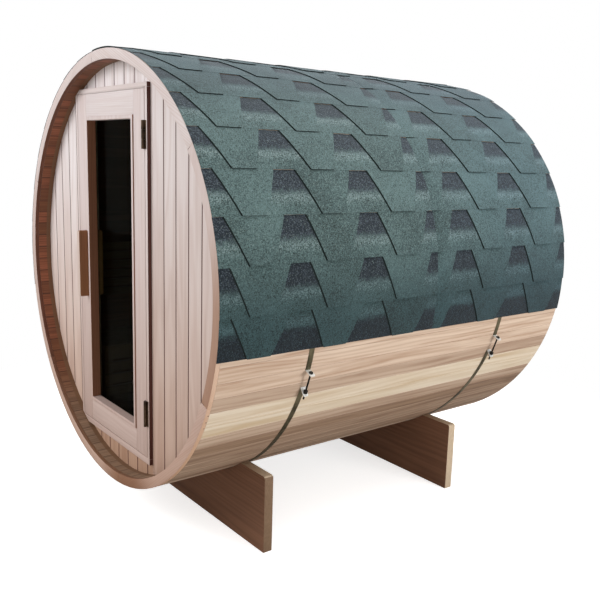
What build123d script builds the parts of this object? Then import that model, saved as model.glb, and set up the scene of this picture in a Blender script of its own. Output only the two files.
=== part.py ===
from build123d import *
from math import cos, sin, tan, radians, sqrt, pi
import os

# Barrel sauna lying on two cradle planks, in millimetres.
# X points right as seen from the door, Y runs from the door to the back, Z is up.
# The origin is on the ground, under the middle of the barrel.

# Barrel
barrel_radius = 900.0
barrel_length = 1918.0
ground_clearance = 170.0
stave_thickness = 42.0
stave_count = 90
staves_per_group = 9
stave_turn = 1.0
stave_groove_width = 4.0
stave_groove_depth = 2.5
croze_depth = 8.0
seat_gap = 0.3

# Trim ring on the front ends of the staves
ring_thickness = 18.0
ring_width = 42.0
ring_arc_count = 6
ring_joint_angle = -23.3
ring_joint_gap = 0.8

# End walls of upright tongue and groove boards
wall_thickness = 42.0
front_recess = 78.0
rear_recess = 60.0
board_pitch = 95.0
board_groove_side = 5.0
left_board_width = 136.0
right_board_width = 103.0
door_board_start = 465.5

# Doorway and its frame, placed by how far it stays inside the round shell on each side
frame_left_inset = 420.0
frame_right_inset = 591.0
frame_top_inset = 94.0
frame_bottom_inset = 85.0
frame_face = 18.0
sill_face = 26.0
frame_depth = 88.0
frame_proud = 16.0
stop_width = 15.0
door_gap = 5.0

# Door leaf, hung on the right and opening outwards
leaf_thickness = 45.0
stile_width = 95.0
bead_width = 16.0
bead_proud = 5.0
glass_thickness = 6.0
glass_setback = 36.0
glass_groove = 9.0
handle_length = 300.0
handle_width = 22.0
handle_reach = 42.0
inner_handle_reach = 26.0
handle_corner = 10.0
handle_inset = 10.0
handle_drop = 4.5

# Hinges
hinge_length = 108.0
knuckle_radius = 7.0
knuckle_count = 3
knuckle_clearance = 0.5
pin_radius = 3.5
hinge_plate = 3.0
leaf_plate_width = 17.0
frame_plate_width = 7.0
upper_hinge_drop = 173.0
lower_hinge_rise = 189.0

# Floor
floor_rise = 98.0
floor_thickness = 22.0
floor_side_gap = 7.0
floor_board_count = 6
floor_board_gap = 8.0
floor_end_gap = 4.0
joist_thickness = 45.0
joist_count = 4

# Bench along the left side
bench_rise = 340.0
bench_depth = 351.0
seat_slat_count = 4
seat_slat_gap = 8.0
seat_thickness = 28.0
bench_end_gap = 12.0
bearer_height = 60.0
bearer_thickness = 40.0
bearer_count = 3
skirt_setback = 14.0
skirt_slat_height = 44.0
skirt_slat_pitch = 60.0
skirt_slat_count = 4
slat_thickness = 18.0
back_slat_height = 37.0
back_slat_pitch = 47.0
back_slat_count = 6
back_first_slat = 185.0
back_setback = 30.0

# Shingle roof
roof_start_angle = -11.5
eaves_course_angle = 9.6
course_angle = 10.75
course_count = 9
course_butt = 9.0
course_head = 5.0
strap_room_gap = 0.8
ridge_thickness = 11.0

# Steel straps that hold the staves together
strap_width = 23.0
strap_thickness = 1.5
strap_sides = 60
strap_clearance = 1.0
upper_lug_angle = -17.4
lower_lug_angle = -22.3
upper_lug_tilt = 8.0
lower_lug_tilt = 35.0
lug_height = 36.0
lug_thickness = 3.0
rod_radius = 3.5
rod_reach = 20.0
rod_overhang = 26.0
nut_radius = 8.0
nut_height = 7.0

# Cradles
cradle_inset = 220.0
cradle_rise = 155.0
cradle_thickness = 42.0
cradle_corner = 12.0
front_cradle_y = 376.0
rear_cradle_y = 1456.0

# Values worked out from the sizes above
axis_height = ground_clearance + barrel_radius
front_y = -barrel_length / 2
rear_y = barrel_length / 2
inner_radius = barrel_radius - stave_thickness
fit_radius = inner_radius - seat_gap
skin_radius = barrel_radius + seat_gap
wall_radius = inner_radius + croze_depth - seat_gap
front_wall_y = front_y + front_recess
front_wall_back = front_wall_y + wall_thickness
rear_wall_back = rear_y - rear_recess
rear_wall_y = rear_wall_back - wall_thickness
frame_y = front_wall_y - frame_proud
frame_back = frame_y + frame_depth
frame_left = frame_left_inset - inner_radius
frame_right = inner_radius - frame_right_inset
frame_top = inner_radius - frame_top_inset
frame_bottom = frame_bottom_inset - inner_radius
leaf_left = frame_left + frame_face + door_gap
leaf_right = frame_right - frame_face - door_gap
leaf_top = frame_top - frame_face - door_gap
leaf_bottom = frame_bottom + sill_face + door_gap
opening_left = leaf_left + stile_width
opening_right = leaf_right - stile_width
opening_top = leaf_top - stile_width
opening_bottom = leaf_bottom + stile_width
leaf_back = frame_y + leaf_thickness
glass_y = frame_y + glass_setback
hinge_x = leaf_right + door_gap / 2
hinge_y = frame_y - knuckle_radius
floor_top = floor_rise - inner_radius
floor_low = floor_top - floor_thickness
bench_top = floor_top + bench_rise
bench_low = bench_top - seat_thickness
strap_offset = cradle_thickness / 2 + strap_clearance + strap_width / 2


def block(x0, x1, y0, y1, z0, z1):
    """Box between two corners, its heights measured from the barrel's axis."""
    centre = Pos((x0 + x1) / 2, (y0 + y1) / 2, axis_height + (z0 + z1) / 2)
    return centre * Box(abs(x1 - x0), abs(y1 - y0), abs(z1 - z0))


def disc(radius, y0, y1):
    """Round slab about the barrel's axis."""
    place = Pos(0, (y0 + y1) / 2, axis_height) * Rot(90, 0, 0)
    return place * Cylinder(radius, y1 - y0)


def post(radius, x, y, z0, z1):
    """Upright round bar."""
    return Pos(x, y, axis_height + (z0 + z1) / 2) * Cylinder(radius, z1 - z0)


def polar(radius, angle):
    return radius * cos(radians(angle)), radius * sin(radians(angle))


def prism(points, y0, y1):
    """Outline of (x, height above the axis) points, drawn out along the barrel."""
    wire = Polyline(*[(x, y0, axis_height + z) for x, z in points], close=True)
    return extrude(make_face(wire), amount=y1 - y0, dir=(0, 1, 0))


def sector(angle0, angle1, y0, y1):
    """Wedge from the axis outwards, used to cut rings into arcs."""
    reach = 2 * barrel_radius
    steps = 4
    rim = [polar(reach, angle0 + (angle1 - angle0) * i / steps) for i in range(steps + 1)]
    return prism([(0, 0)] + rim, y0, y1)


def inside_barrel(shape):
    """Trim to the round inside face of the staves."""
    return shape & disc(fit_radius, front_y, rear_y)


def save(node, shape):
    solid = Compound(children=list(shape)) if isinstance(shape, list) else shape
    export_step(solid, os.path.join("parts", node + ".step"))


def stave_outline(group):
    """Edge of one group of staves: flat outer faces with a small vee at each joint."""
    pitch = 360 / stave_count
    vee = stave_groove_width / 2 / barrel_radius * 180 / pi
    corner_radius = inner_radius / cos(radians(pitch / 2))
    first = 90 + stave_turn + group * staves_per_group * pitch
    outer = []
    inner = []
    for i in range(staves_per_group):
        a0 = first + i * pitch
        outer.append(polar(barrel_radius - stave_groove_depth, a0))
        outer.append(polar(barrel_radius, a0 + vee))
        outer.append(polar(barrel_radius, a0 + pitch - vee))
        inner.append(polar(corner_radius, a0))
    last = first + staves_per_group * pitch
    outer.append(polar(barrel_radius - stave_groove_depth, last))
    inner.append(polar(corner_radius, last))
    return outer + inner[::-1]


def rim(inscribed_radius, sides, y0, y1):
    """Slab with flat sides about the barrel's axis, which just holds a disc of that radius."""
    corner_radius = inscribed_radius / cos(pi / sides)
    start = 90 + stave_turn
    return prism([polar(corner_radius, start + i * 360 / sides) for i in range(sides)], y0, y1)


def make_staves():
    croze_radius = inner_radius + croze_depth
    crozes = rim(croze_radius, stave_count, front_wall_y, front_wall_back)
    crozes += rim(croze_radius, stave_count, rear_wall_y, rear_wall_back)
    for group in range(stave_count // staves_per_group):
        staves = prism(stave_outline(group), front_y + ring_thickness, rear_y)
        save("staves_%02d" % (group + 1), staves - crozes)


def make_ring():
    y1 = front_y + ring_thickness
    ring = disc(barrel_radius, front_y, y1) - disc(barrel_radius - ring_width, front_y, y1)
    span = 360 / ring_arc_count
    half_gap = ring_joint_gap / 2 / barrel_radius * 180 / pi
    for i in range(ring_arc_count):
        start = ring_joint_angle + i * span
        arc = ring & sector(start + half_gap, start + span - half_gap, front_y, y1)
        save("front_ring_%d" % (i + 1), arc)


def board_joints(starts, face_y):
    """Vee cuts along the board joints on one face of an end wall."""
    cuts = []
    for x in starts:
        bar = Box(board_groove_side, board_groove_side, 2 * barrel_radius)
        cuts.append(Pos(x, face_y, axis_height) * Rot(0, 0, 45) * bar)
    return cuts


def joint_places(first, low, high):
    """Joints one board apart through a given place, between two limits."""
    start = first - board_pitch * int((first - low) / board_pitch)
    count = int((high - start) / board_pitch)
    places = [start + board_pitch * i for i in range(count + 1)]
    return [x for x in places if low + board_groove_side < x < high - board_groove_side]


def make_front_wall():
    wall = disc(wall_radius, front_wall_y, front_wall_back)
    far = barrel_radius
    door_joint = frame_left + door_board_start
    pieces = {
        "front_wall_left": (-far, frame_left, -far, far, frame_left - left_board_width),
        "front_wall_right": (frame_right, far, -far, far, frame_right + right_board_width),
        "front_wall_over_door": (frame_left, frame_right, frame_top, far, door_joint),
        "front_wall_under_door": (frame_left, frame_right, -far, frame_bottom, door_joint),
    }
    for node, (x0, x1, z0, z1, first) in pieces.items():
        piece = wall & block(x0, x1, front_wall_y, front_wall_back, z0, z1)
        save(node, piece - board_joints(joint_places(first, x0, x1), front_wall_y))


def make_rear_wall():
    wall = disc(wall_radius, rear_wall_y, rear_wall_back)
    places = joint_places(board_pitch / 2, -wall_radius, wall_radius)
    save("rear_wall", wall - board_joints(places, rear_wall_back))


def make_door_frame():
    stop_y = leaf_back + door_gap
    left_in = frame_left + frame_face
    right_in = frame_right - frame_face
    head_in = frame_top - frame_face
    sill_in = frame_bottom + sill_face
    left = block(frame_left, left_in, frame_y, frame_back, sill_in, head_in)
    left += block(left_in, left_in + stop_width, stop_y, frame_back, sill_in, head_in)
    right = block(right_in, frame_right, frame_y, frame_back, sill_in, head_in)
    right += block(right_in - stop_width, right_in, stop_y, frame_back, sill_in, head_in)
    head = block(frame_left, frame_right, frame_y, frame_back, head_in, frame_top)
    head += block(left_in + stop_width, right_in - stop_width, stop_y, frame_back,
                  head_in - stop_width, head_in)
    sill = block(frame_left, frame_right, frame_y, frame_back, frame_bottom, sill_in)
    sill += block(left_in + stop_width, right_in - stop_width, stop_y, frame_back,
                  sill_in, sill_in + stop_width)
    save("door_jamb_left", inside_barrel(left))
    save("door_jamb_right", inside_barrel(right))
    save("door_head", inside_barrel(head))
    save("door_sill", inside_barrel(sill))


def make_leaf():
    pane = block(opening_left - glass_groove, opening_right + glass_groove, glass_y,
                 glass_y + glass_thickness, opening_bottom - glass_groove,
                 opening_top + glass_groove)
    stiles = [
        block(leaf_left, opening_left, frame_y, leaf_back, leaf_bottom, leaf_top) - pane,
        block(opening_right, leaf_right, frame_y, leaf_back, leaf_bottom, leaf_top) - pane,
    ]
    rails = [
        block(opening_left, opening_right, frame_y, leaf_back, opening_top, leaf_top) - pane,
        block(opening_left, opening_right, frame_y, leaf_back, leaf_bottom, opening_bottom) - pane,
    ]
    bead_y = frame_y - bead_proud
    beads = block(opening_left, opening_right, bead_y, glass_y, opening_bottom, opening_top)
    beads -= block(opening_left + bead_width, opening_right - bead_width, bead_y, glass_y,
                   opening_bottom + bead_width, opening_top - bead_width)
    save("door_stiles", stiles)
    save("door_rails", rails)
    save("door_beads", beads)
    save("door_glass", pane)


def make_handles():
    x1 = opening_left - handle_inset
    x0 = x1 - handle_width
    middle = (leaf_bottom + leaf_top) / 2 - handle_drop
    z0 = middle - handle_length / 2
    z1 = middle + handle_length / 2
    outer = block(x0, x1, frame_y - handle_reach, frame_y, z0, z1)
    outer = fillet(outer.edges().filter_by(Axis.X).group_by(Axis.Y)[0], handle_corner)
    inner = block(x0, x1, leaf_back, leaf_back + inner_handle_reach, z0, z1)
    inner = fillet(inner.edges().filter_by(Axis.X).group_by(Axis.Y)[-1], handle_corner)
    save("door_handles", [outer, inner])


def hinge_half(middle, ends):
    """One half of a hinge: its plate and every second knuckle, bored for the pin."""
    z0 = middle - hinge_length / 2
    z1 = middle + hinge_length / 2
    side = 1 if ends else -1
    width = frame_plate_width if ends else leaf_plate_width
    near = hinge_x + side * (knuckle_radius + knuckle_clearance)
    plate_y = frame_y - hinge_plate
    half = block(near, near + side * width, plate_y, frame_y, z0, z1)
    pitch = hinge_length / knuckle_count
    for i in range(0 if ends else 1, knuckle_count, 2):
        low = z0 + i * pitch + (knuckle_clearance / 2 if i else 0)
        high = z0 + (i + 1) * pitch - (knuckle_clearance / 2 if i < knuckle_count - 1 else 0)
        half += post(knuckle_radius, hinge_x, hinge_y, low, high)
        half += block(hinge_x, near + side, plate_y, frame_y - knuckle_clearance, low, high)
    bore = pin_radius + knuckle_clearance
    if ends:
        half += post(pin_radius, hinge_x, hinge_y, z0, z1)
    else:
        half -= post(bore, hinge_x, hinge_y, z0, z1)
    return half


def make_hinges():
    heights = (leaf_top - upper_hinge_drop, leaf_bottom + lower_hinge_rise)
    save("door_hinge_leaves", [hinge_half(z, False) for z in heights])
    save("frame_hinge_leaves", [hinge_half(z, True) for z in heights])


def make_floor():
    y0 = frame_back + floor_end_gap
    y1 = rear_wall_y - floor_end_gap
    half = sqrt(fit_radius ** 2 - floor_low ** 2) - floor_side_gap
    board = (2 * half - (floor_board_count - 1) * floor_board_gap) / floor_board_count
    joists = []
    for i in range(joist_count):
        y = y0 + i * (y1 - y0 - joist_thickness) / (joist_count - 1)
        joists.append(inside_barrel(block(-half, half, y, y + joist_thickness,
                                          -inner_radius, floor_low)))
    boards = []
    for i in range(floor_board_count):
        x = i * (board + floor_board_gap) - half
        boards.append(block(x, x + board, y0, y1, floor_low, floor_top))
    save("floor_joists", joists)
    save("floor_boards", boards)


def bench_y(i):
    """Front face of each cross bearer under the bench."""
    y0 = front_wall_back + 4 * bench_end_gap
    y1 = rear_wall_y - 4 * bench_end_gap - bearer_thickness
    return y0 + (y1 - y0) * i / (bearer_count - 1)


def make_bench():
    y0 = frame_back + bench_end_gap
    y1 = rear_wall_y - bench_end_gap
    bearer_low = bench_low - bearer_height
    bench_front = sqrt(fit_radius ** 2 - bench_low ** 2) - bench_depth
    slat = (bench_depth - (seat_slat_count - 1) * seat_slat_gap) / seat_slat_count
    skirt_x = bench_front + skirt_setback
    post_x = skirt_x + slat_thickness

    bearers = []
    for i in range(bearer_count):
        y = bench_y(i)
        bearer = block(-barrel_radius, -post_x, y, y + bearer_thickness, bearer_low, bench_low)
        leg = block(-post_x - bearer_thickness, -post_x, y, y + bearer_thickness,
                    -barrel_radius, bearer_low)
        bearers.append(inside_barrel(bearer + leg))
    save("bench_bearers", bearers)

    seat = []
    for i in range(seat_slat_count):
        x = bench_front + i * (slat + seat_slat_gap)
        seat.append(inside_barrel(block(-x - slat, -x, y0, y1, bench_low, bench_top)))
    save("bench_seat", seat)

    skirt = []
    for i in range(skirt_slat_count):
        top = bearer_low - i * skirt_slat_pitch + skirt_slat_pitch
        skirt.append(block(-post_x, -skirt_x, y0, y1, top - skirt_slat_height, top))
    save("bench_skirt", skirt)

    batten_x = sqrt(fit_radius ** 2 - bench_top ** 2) - back_setback
    back = None
    for i in range(bearer_count):
        y = bench_y(i)
        top = bench_top + back_first_slat + back_slat_count * back_slat_pitch
        batten = block(-batten_x - slat_thickness, -batten_x, y, y + bearer_thickness,
                       bench_top, top)
        back = batten if back is None else back + batten
    for i in range(back_slat_count):
        z = bench_top + back_first_slat + i * back_slat_pitch
        back += block(-batten_x, -batten_x + slat_thickness, y0, y1, z, z + back_slat_height)
    save("bench_backrest", back)


def course_edge(i):
    """Angle of the lower edge of one course, counted from the eaves."""
    return roof_start_angle + (eaves_course_angle + (i - 1) * course_angle if i else 0)


def course_outline():
    """Sawtooth edge of the courses on the right side, from the eaves to the ridge."""
    points = [polar(skin_radius - stave_thickness / 2, roof_start_angle)]
    for i in range(course_count):
        a0 = course_edge(i)
        a1 = course_edge(i + 1)
        points.append(polar(barrel_radius + course_butt, a0))
        points.append(polar(barrel_radius + (course_butt + course_head) / 2 + 1, (a0 + a1) / 2))
        points.append(polar(barrel_radius + course_head, a1))
    for i in range(course_count, 0, -1):
        points.append(polar(skin_radius - stave_thickness / 2, course_edge(i)))
    return points


def make_roof():
    hollow = disc(skin_radius, front_y, rear_y)
    strap_room = (skin_radius + strap_thickness) / cos(pi / strap_sides) + strap_room_gap
    for cradle_y in (front_cradle_y, rear_cradle_y):
        y = front_y + cradle_y + strap_offset
        hollow += disc(strap_room, y - strap_width / 2 - seat_gap, y + strap_width / 2 + seat_gap)
    right = prism(course_outline(), front_y, rear_y) - hollow
    save("shingles_right", right)
    save("shingles_left", mirror(right, Plane.YZ))
    edge = course_edge(course_count)
    cap = disc(barrel_radius + ridge_thickness, front_y, rear_y)
    cap = (cap & sector(edge, 180 - edge, front_y, rear_y)) - hollow
    save("shingle_ridge", cap)


def make_strap(node, cradle_y):
    """Steel band behind a cradle, drawn tight by a bolt between its two bent ends."""
    y = front_y + cradle_y + strap_offset
    y0 = y - strap_width / 2
    y1 = y0 + strap_width
    band = rim(skin_radius + strap_thickness, strap_sides, y0, y1)
    band -= rim(skin_radius, strap_sides, y0, y1)
    band -= sector(lower_lug_angle, upper_lug_angle, y0, y1)

    lugs = ((upper_lug_angle, upper_lug_tilt), (lower_lug_angle, lower_lug_tilt))
    for angle, tilt in lugs:
        root = Pos(0, y, axis_height) * Rot(0, -angle, 0) * Pos(skin_radius + strap_thickness, 0, 0)
        plate = Rot(0, tilt, 0) * Pos(lug_height / 2, 0, 0)
        band += root * plate * Box(lug_height, strap_width, lug_thickness)

    half = barrel_radius * radians(upper_lug_angle - lower_lug_angle) / 2
    top = half - rod_reach * tan(radians(upper_lug_tilt))
    bottom = -half - rod_reach * tan(radians(lower_lug_tilt))
    middle = (upper_lug_angle + lower_lug_angle) / 2
    line = Pos(0, y, axis_height) * Rot(0, -middle, 0) * Pos(skin_radius + rod_reach, 0, 0)
    low = bottom - rod_overhang
    band += line * Pos(0, 0, (low + top) / 2) * Cylinder(rod_radius, top - low)
    for z in (top, bottom, bottom - nut_height):
        band += line * Pos(0, 0, z) * extrude(RegularPolygon(nut_radius, 6), nut_height)
    save(node, band)


def make_cradle(node, y):
    y0 = front_y + y - cradle_thickness / 2
    y1 = y0 + cradle_thickness
    reach = barrel_radius - cradle_inset
    plank = block(-reach, reach, y0, y1, -axis_height, cradle_rise - barrel_radius)
    corners = plank.edges().filter_by(Axis.Y).group_by(Axis.Z)[-1]
    plank = fillet(corners, cradle_corner)
    save(node, plank - disc(skin_radius, y0, y1))


os.makedirs("parts", exist_ok=True)
make_staves()
make_ring()
make_front_wall()
make_rear_wall()
make_door_frame()
make_leaf()
make_handles()
make_hinges()
make_floor()
make_bench()
make_roof()
make_strap("strap_front", front_cradle_y)
make_strap("strap_rear", rear_cradle_y)
make_cradle("cradle_front", front_cradle_y)
make_cradle("cradle_rear", rear_cradle_y)
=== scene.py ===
import math
import random

import bmesh
import bpy
from mathutils import Matrix, Vector


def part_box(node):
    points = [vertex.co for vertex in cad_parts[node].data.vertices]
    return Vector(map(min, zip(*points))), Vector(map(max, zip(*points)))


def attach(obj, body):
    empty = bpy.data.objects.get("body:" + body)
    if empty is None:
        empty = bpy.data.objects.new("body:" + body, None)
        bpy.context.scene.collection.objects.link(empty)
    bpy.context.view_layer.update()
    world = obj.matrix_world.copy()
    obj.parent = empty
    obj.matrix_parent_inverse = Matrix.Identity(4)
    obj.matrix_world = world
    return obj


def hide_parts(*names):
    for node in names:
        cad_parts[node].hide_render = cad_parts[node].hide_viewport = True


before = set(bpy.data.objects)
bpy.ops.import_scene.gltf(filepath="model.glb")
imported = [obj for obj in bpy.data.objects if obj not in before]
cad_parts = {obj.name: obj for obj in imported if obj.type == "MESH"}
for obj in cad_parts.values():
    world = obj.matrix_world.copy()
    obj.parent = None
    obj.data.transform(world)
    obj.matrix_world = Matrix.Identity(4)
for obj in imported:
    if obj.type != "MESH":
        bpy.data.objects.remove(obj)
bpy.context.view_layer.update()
print("stage: frame loaded,", len(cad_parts), "nodes")

# Row frame, in metres: the barrel lies along Y, its axis is at X 0, Z axisHeight
barrel = {
    "axisHeight": 1.070,
    "radius": 0.900,
    "inner": 0.858,
    "front": -0.959,
    "rear": 0.959,
    "staveCount": 90,
    "staveTurn": 91.0,       # angle of a joint between two staves
}

# Camera, on the viewing angle of the photograph
camera = {
    "place": (2.9691, -2.2395, 1.5769),
    "turn": 52.0752,
    "pitch": -10.7722,
    "roll": 1.7353,
    "lens": 45.56,
    "sensor": 36.0,
}


def makeCamera():
    a, b, c = (math.radians(camera[k]) for k in ("turn", "pitch", "roll"))
    ahead = Vector((-math.sin(a) * math.cos(b), math.cos(a) * math.cos(b), math.sin(b)))
    right = Vector((math.cos(a), math.sin(a), 0.0))
    up = right.cross(ahead)
    side = right * math.cos(c) + up * math.sin(c)
    top = up * math.cos(c) - right * math.sin(c)
    data = bpy.data.cameras.new("camera")
    data.lens = camera["lens"]
    data.sensor_width = camera["sensor"]
    data.sensor_fit = "HORIZONTAL"
    data.dof.use_dof = False
    obj = bpy.data.objects.new("camera", data)
    turn = Matrix((side, top, -ahead)).transposed().to_4x4()
    obj.matrix_world = Matrix.Translation(Vector(camera["place"])) @ turn
    bpy.context.scene.collection.objects.link(obj)
    bpy.context.scene.camera = obj


makeCamera()


# Node helpers
def rgb(text):
    # a written colour such as "C9AE8E", as linear light
    parts = [int(text[i:i + 2], 16) / 255 for i in (0, 2, 4)]
    return tuple(c / 12.92 if c < 0.04045 else ((c + 0.055) / 1.055) ** 2.4 for c in parts) + (1.0,)


def plug(tree, value, socket):
    # links a socket, or sets a number, a vector or a written colour
    if isinstance(value, bpy.types.NodeSocket):
        tree.links.new(value, socket)
    else:
        socket.default_value = rgb(value) if isinstance(value, str) else value


def calc(tree, operation, a, b=0.0, c=0.0, clamp=False):
    node = tree.nodes.new("ShaderNodeMath")
    node.operation = operation
    node.use_clamp = clamp
    for value, socket in zip((a, b, c), node.inputs):
        plug(tree, value, socket)
    return node.outputs[0]


def add(tree, a, b, clamp=False):
    return calc(tree, "ADD", a, b, clamp=clamp)


def minus(tree, a, b):
    return calc(tree, "SUBTRACT", a, b)


def times(tree, first, *factors):
    for factor in factors:
        first = calc(tree, "MULTIPLY", first, factor)
    return first


def sway(tree, value, pattern, share, middle=0.5):
    # the value, raised and lowered by a pattern about its middle
    return add(tree, value, times(tree, minus(tree, pattern, middle), share))


def distance(tree, a, b):
    return calc(tree, "SQRT", add(tree, times(tree, a, a), times(tree, b, b)))


def between(tree, value, low, high):
    return times(tree, calc(tree, "GREATER_THAN", value, low), calc(tree, "LESS_THAN", value, high))


def cells(tree, value, start, pitch):
    # number of the board at a value, and the place across that board, from -0.5 to 0.5
    turn = calc(tree, "DIVIDE", minus(tree, value, start), pitch)
    index = calc(tree, "FLOOR", turn)
    return index, minus(tree, minus(tree, turn, index), 0.5)


def vectorCalc(tree, operation, a, b):
    node = tree.nodes.new("ShaderNodeVectorMath")
    node.operation = operation
    plug(tree, a, node.inputs[0])
    plug(tree, b, node.inputs[1])
    return node.outputs[0]


def mixColor(tree, factor, a, b, kind="MIX"):
    node = tree.nodes.new("ShaderNodeMix")
    node.data_type = "RGBA"
    node.blend_type = kind
    node.clamp_factor = True
    plug(tree, factor, node.inputs[0])
    plug(tree, a, node.inputs[6])
    plug(tree, b, node.inputs[7])
    return node.outputs[2]


def mixValue(tree, factor, a, b):
    node = tree.nodes.new("ShaderNodeMix")
    plug(tree, factor, node.inputs[0])
    plug(tree, a, node.inputs[2])
    plug(tree, b, node.inputs[3])
    return node.outputs[0]


def noise(tree, vector, scale, detail=2.0, roughness=0.5, distortion=0.0):
    node = tree.nodes.new("ShaderNodeTexNoise")
    settings = (vector, scale, detail, roughness, distortion)
    for title, value in zip(("Vector", "Scale", "Detail", "Roughness", "Distortion"), settings):
        plug(tree, value, node.inputs[title])
    return node.outputs["Fac"]


def spread(tree, value, low, high, toLow=0.0, toHigh=1.0):
    node = tree.nodes.new("ShaderNodeMapRange")
    node.interpolation_type = "SMOOTHSTEP"
    for number, socket in zip((value, low, high, toLow, toHigh), node.inputs):
        plug(tree, number, socket)
    return node.outputs[0]


def split(tree, vector):
    node = tree.nodes.new("ShaderNodeSeparateXYZ")
    plug(tree, vector, node.inputs[0])
    return node.outputs[0], node.outputs[1], node.outputs[2]


def join(tree, x, y, z):
    node = tree.nodes.new("ShaderNodeCombineXYZ")
    for value, socket in zip((x, y, z), node.inputs):
        plug(tree, value, socket)
    return node.outputs[0]


def randomOf(tree, value):
    node = tree.nodes.new("ShaderNodeTexWhiteNoise")
    node.noise_dimensions = "1D"
    plug(tree, value, node.inputs["W"])
    return node.outputs["Value"]


def attribute(tree, name):
    node = tree.nodes.new("ShaderNodeAttribute")
    node.attribute_name = name
    return node.outputs["Fac"]


def steps(tree, value, pairs):
    # the tone of each range of a value, from pairs of its upper end and the tone
    result = pairs[-1][1]
    for limit, tone in reversed(pairs[:-1]):
        result = mixValue(tree, calc(tree, "LESS_THAN", value, limit), result, tone)
    return result


def makeGroup(name, inputs, outputs):
    # inputs and outputs give each socket's kind by its title
    tree = bpy.data.node_groups.new(name, "ShaderNodeTree")
    for way, sockets in (("INPUT", inputs), ("OUTPUT", outputs)):
        for title, kind in sockets.items():
            tree.interface.new_socket(name=title, in_out=way, socket_type="NodeSocket" + kind)
    entry = tree.nodes.new("NodeGroupInput")
    leave = tree.nodes.new("NodeGroupOutput")
    return tree, entry.outputs, leave.inputs


def useGroup(tree, group, **values):
    node = tree.nodes.new("ShaderNodeGroup")
    node.node_tree = group
    for title, value in values.items():
        plug(tree, value, node.inputs[title])
    return node.outputs


# Shared effects
grainLook = {
    "bend": 0.05,                # how far the growth rings wander
    "pith": (0.16, 0.07),        # how far the pith strays across the board, and its depth under it
    # stretch along the grain, scale and share of the tone
    "fibre": (0.012, 420.0, 0.5),
    "streak": (0.03, 70.0, 0.6),
    "patch": (0.3, 5.0, 0.5),
    "flame": (0.06, 26.0, 0.5),
    "ends": (0.09, 0.09, 260.0),     # a sawn end: the pith as above, and rings to the metre
}


def makeWoodGrain():
    # the grain runs along the vector's Z, in metres
    tree, take, give = makeGroup(
        "woodGrain",
        {"Vector": "Vector", "Seed": "Float", "Light": "Color", "Dark": "Color", "Figure": "Float",
         "Spacing": "Float", "Wild": "Float"},
        {"Color": "Color", "Height": "Float", "Roughness": "Float"})
    shift = join(tree, *(times(tree, take["Seed"], number) for number in (3.17, 7.31, 5.77)))
    place = vectorCalc(tree, "ADD", take["Vector"], shift)

    def drawnOut(stretch, scale, *settings):
        return noise(tree, vectorCalc(tree, "MULTIPLY", place, (1.0, 1.0, stretch)), scale, *settings)

    wander, depth = grainLook["pith"]
    bend = drawnOut(0.10, 7.0, 2.0, 0.5, 0.4)
    x, y, z = split(tree, take["Vector"])
    pith = add(tree, times(tree, randomOf(tree, take["Seed"]), wander), -wander / 2)
    far = distance(tree, minus(tree, x, pith), add(tree, y, depth))
    bending = times(tree, bend, calc(tree, "DIVIDE", grainLook["bend"], take["Spacing"]))
    turns = add(tree, calc(tree, "DIVIDE", far, take["Spacing"]), bending)
    growth = add(tree, times(tree, calc(tree, "SINE", times(tree, turns, 6.283)), 0.5), 0.5)
    growth = calc(tree, "POWER", growth, 1.8)
    fibre = drawnOut(*grainLook["fibre"][:2], 2.0, 0.6)
    streak = drawnOut(*grainLook["streak"][:2])
    patch = drawnOut(*grainLook["patch"][:2])
    flame = spread(tree, drawnOut(*grainLook["flame"][:2], 3.0, 0.6, 0.6), 0.44, 0.68)
    amount = times(tree, growth, take["Figure"])
    for name, pattern in (("fibre", fibre), ("streak", streak), ("patch", patch)):
        amount = sway(tree, amount, pattern, grainLook[name][2])
    amount = add(tree, amount, times(tree, flame, take["Wild"], grainLook["flame"][2]))
    amount = add(tree, amount, 0.18, clamp=True)
    plug(tree, mixColor(tree, amount, take["Light"], take["Dark"]), give["Color"])
    plug(tree, add(tree, times(tree, fibre, 0.6), times(tree, growth, 0.25)), give["Height"])
    plug(tree, add(tree, 0.5, times(tree, streak, 0.25)), give["Roughness"])
    return tree


woodGrain = makeWoodGrain()


def makeEndGrain():
    # growth rings of a sawn end, the cut lying across the vector's Z
    tree, take, give = makeGroup(
        "endGrain",
        {"Vector": "Vector", "Seed": "Float", "Light": "Color", "Dark": "Color"},
        {"Color": "Color"})
    wander, depth, count = grainLook["ends"]
    x, y, z = split(tree, take["Vector"])
    far = distance(tree, sway(tree, x, randomOf(tree, take["Seed"]), wander), add(tree, y, depth))
    wobble = noise(tree, take["Vector"], 30.0, 1.0)
    growth = calc(tree, "FRACT", add(tree, times(tree, far, count), times(tree, wobble, 1.2)))
    speck = noise(tree, take["Vector"], 900.0, 1.0)
    amount = add(tree, times(tree, growth, 0.6), times(tree, speck, 0.4), clamp=True)
    plug(tree, mixColor(tree, amount, take["Light"], take["Dark"]), give["Color"])
    return tree


endGrain = makeEndGrain()

granuleLook = {"scale": 330.0, "fringe": "8D9C9C", "sparkle": "5A6570", "pale": "93A39E"}


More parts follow.
